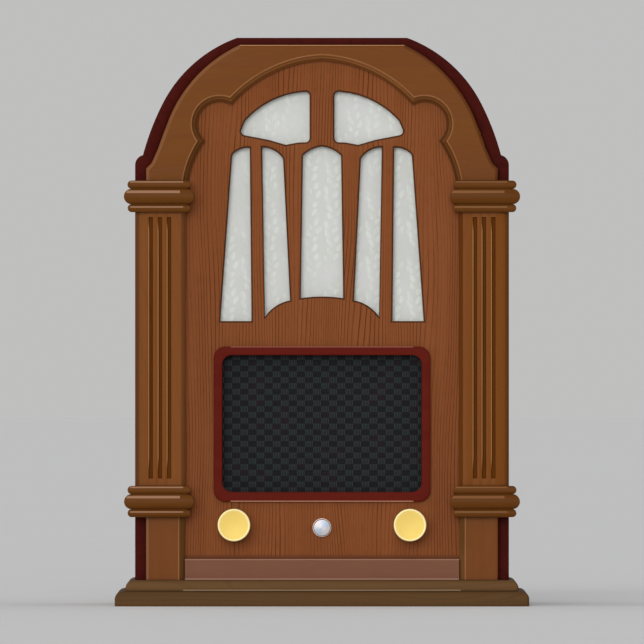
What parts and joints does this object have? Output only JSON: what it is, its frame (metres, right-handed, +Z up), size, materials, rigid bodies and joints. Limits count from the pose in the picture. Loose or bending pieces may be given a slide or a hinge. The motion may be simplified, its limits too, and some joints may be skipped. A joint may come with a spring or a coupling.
{
  "type": "tombstone table radio",
  "caption": "Wooden table radio with an arched top, fluted pilasters, a fretted front over pale cloth, a lower woven grille, gold control knobs and a push button.",
  "frame": {"origin": "centre of the lower plinth's underside, on the surface the radio stands on", "axes": "+Z up, -Y out of the front, +X to the right as seen from the front"},
  "size_m": [0.4, 0.28, 0.549],
  "materials": {
    "maroon_lacquer": "dark maroon lacquer, satin",
    "walnut": "walnut mouldings, satin varnish",
    "panel_veneer": "red-brown straight-grained veneer, satin varnish",
    "rail_veneer": "pinkish veneer, satin varnish",
    "plinth_wood": "dark brown stained wood, satin",
    "red_lacquer": "dark red lacquer, gloss",
    "damask_cloth": "pale grey-green damask with a faint leaf figure",
    "black_weave": "black checker weave",
    "plain_ply": "unfinished plywood",
    "hardboard": "brown hardboard, matt",
    "plated_steel": "dull plated sheet steel",
    "gold": "polished gold-coloured brass",
    "silver": "silver, turned with circular brushing",
    "aluminium": "bare aluminium",
    "black_iron": "black enamel",
    "cone_paper": "black pressed paper",
    "bakelite": "dark brown bakelite",
    "valve_glass": "clear glass, silvered inside at the top",
    "black_rubber": "black rubber",
    "waxed_cord": "waxed cord"
  },
  "bodies": {
    "cabinet": {"plinth_lower": "plinth_wood", "plinth_upper": "plinth_wood", "cabinet_shell": "maroon_lacquer", "front_panel": "panel_veneer", "arch_moulding": "walnut", "pilaster_shaft_left": "walnut", "pilaster_capital_left": "walnut", "pilaster_base_left": "walnut", "pedestal_left": "walnut", "pilaster_shaft_right": "walnut", "pilaster_capital_right": "walnut", "pilaster_base_right": "walnut", "pedestal_right": "walnut", "kick_rail": "rail_veneer", "speaker_frame": "red_lacquer", "upper_grille_cloth": "damask_cloth", "lower_grille_cloth": "black_weave", "speaker_baffle": "plain_ply", "rear_cover": "hardboard", "rear_cover_screw_1": "plated_steel", "rear_cover_screw_2": "plated_steel", "rear_cover_screw_3": "plated_steel", "rear_cover_screw_4": "plated_steel", "rear_cover_screw_5": "plated_steel", "rear_cover_screw_6": "plated_steel", "chassis": "plated_steel", "tuning_bush": "gold", "button_bezel": "silver", "smoothing_capacitor_1": "aluminium", "smoothing_capacitor_2": "aluminium", "tuning_capacitor_frame": "aluminium", "mains_transformer": "black_iron", "volume_control": "black_iron", "main_speaker_basket": "black_iron", "second_speaker_basket": "black_iron", "main_speaker_magnet": "black_iron", "second_speaker_magnet": "black_iron", "valve_socket_1": "bakelite", "valve_socket_2": "bakelite", "valve_socket_3": "bakelite", "valve_socket_4": "bakelite", "terminal_strip": "bakelite", "power_switch": "bakelite", "valve_1": "valve_glass", "valve_2": "valve_glass", "valve_3": "valve_glass", "valve_4": "valve_glass", "mains_grommet": "black_rubber", "drive_cord": "waxed_cord"},
    "tuning_control": {"tuning_knob": "gold", "tuning_spindle": "plated_steel"},
    "tuning_rotor": {"tuning_capacitor_rotor": "aluminium", "drive_drum": "gold"},
    "volume_turner": {"volume_knob": "gold", "volume_shaft": "plated_steel"},
    "push_button": {"power_button": "silver"},
    "main_cone": {"main_speaker_cone": "cone_paper"},
    "second_cone": {"second_speaker_cone": "cone_paper"}
  },
  "joints": [
    {"name": "tuning_turn", "type": "hinge", "parent": "cabinet", "child": "tuning_control", "pos_m": [0.085, -0.1072, 0.0783], "axis": [0, 1, 0], "range_deg": [-540, 540]},
    {"name": "rotor_turn", "type": "hinge", "parent": "cabinet", "child": "tuning_rotor", "pos_m": [0.1, -0.08, 0.145], "axis": [0, 1, 0], "range_deg": [-91, 91]},
    {"name": "volume_turn", "type": "hinge", "parent": "cabinet", "child": "volume_turner", "pos_m": [-0.085, -0.1072, 0.0783], "axis": [0, 1, 0], "range_deg": [-150, 150]},
    {"name": "power_press", "type": "slide", "parent": "cabinet", "child": "push_button", "axis": [0, 1, 0], "range_m": [0, 0.004], "stiffness_N_per_m": 300, "springref_m": -0.002},
    {"name": "main_cone_travel", "type": "slide", "parent": "cabinet", "child": "main_cone", "axis": [0, 1, 0], "range_m": [-0.0015, 0.0015], "stiffness_N_per_m": 2500},
    {"name": "second_cone_travel", "type": "slide", "parent": "cabinet", "child": "second_cone", "axis": [0, 1, 0], "range_m": [-0.0015, 0.0015], "stiffness_N_per_m": 2500}
  ],
  "couplings": [
    {"joint": "rotor_turn", "follows": "tuning_turn", "ratio": 0.16667}
  ]
}
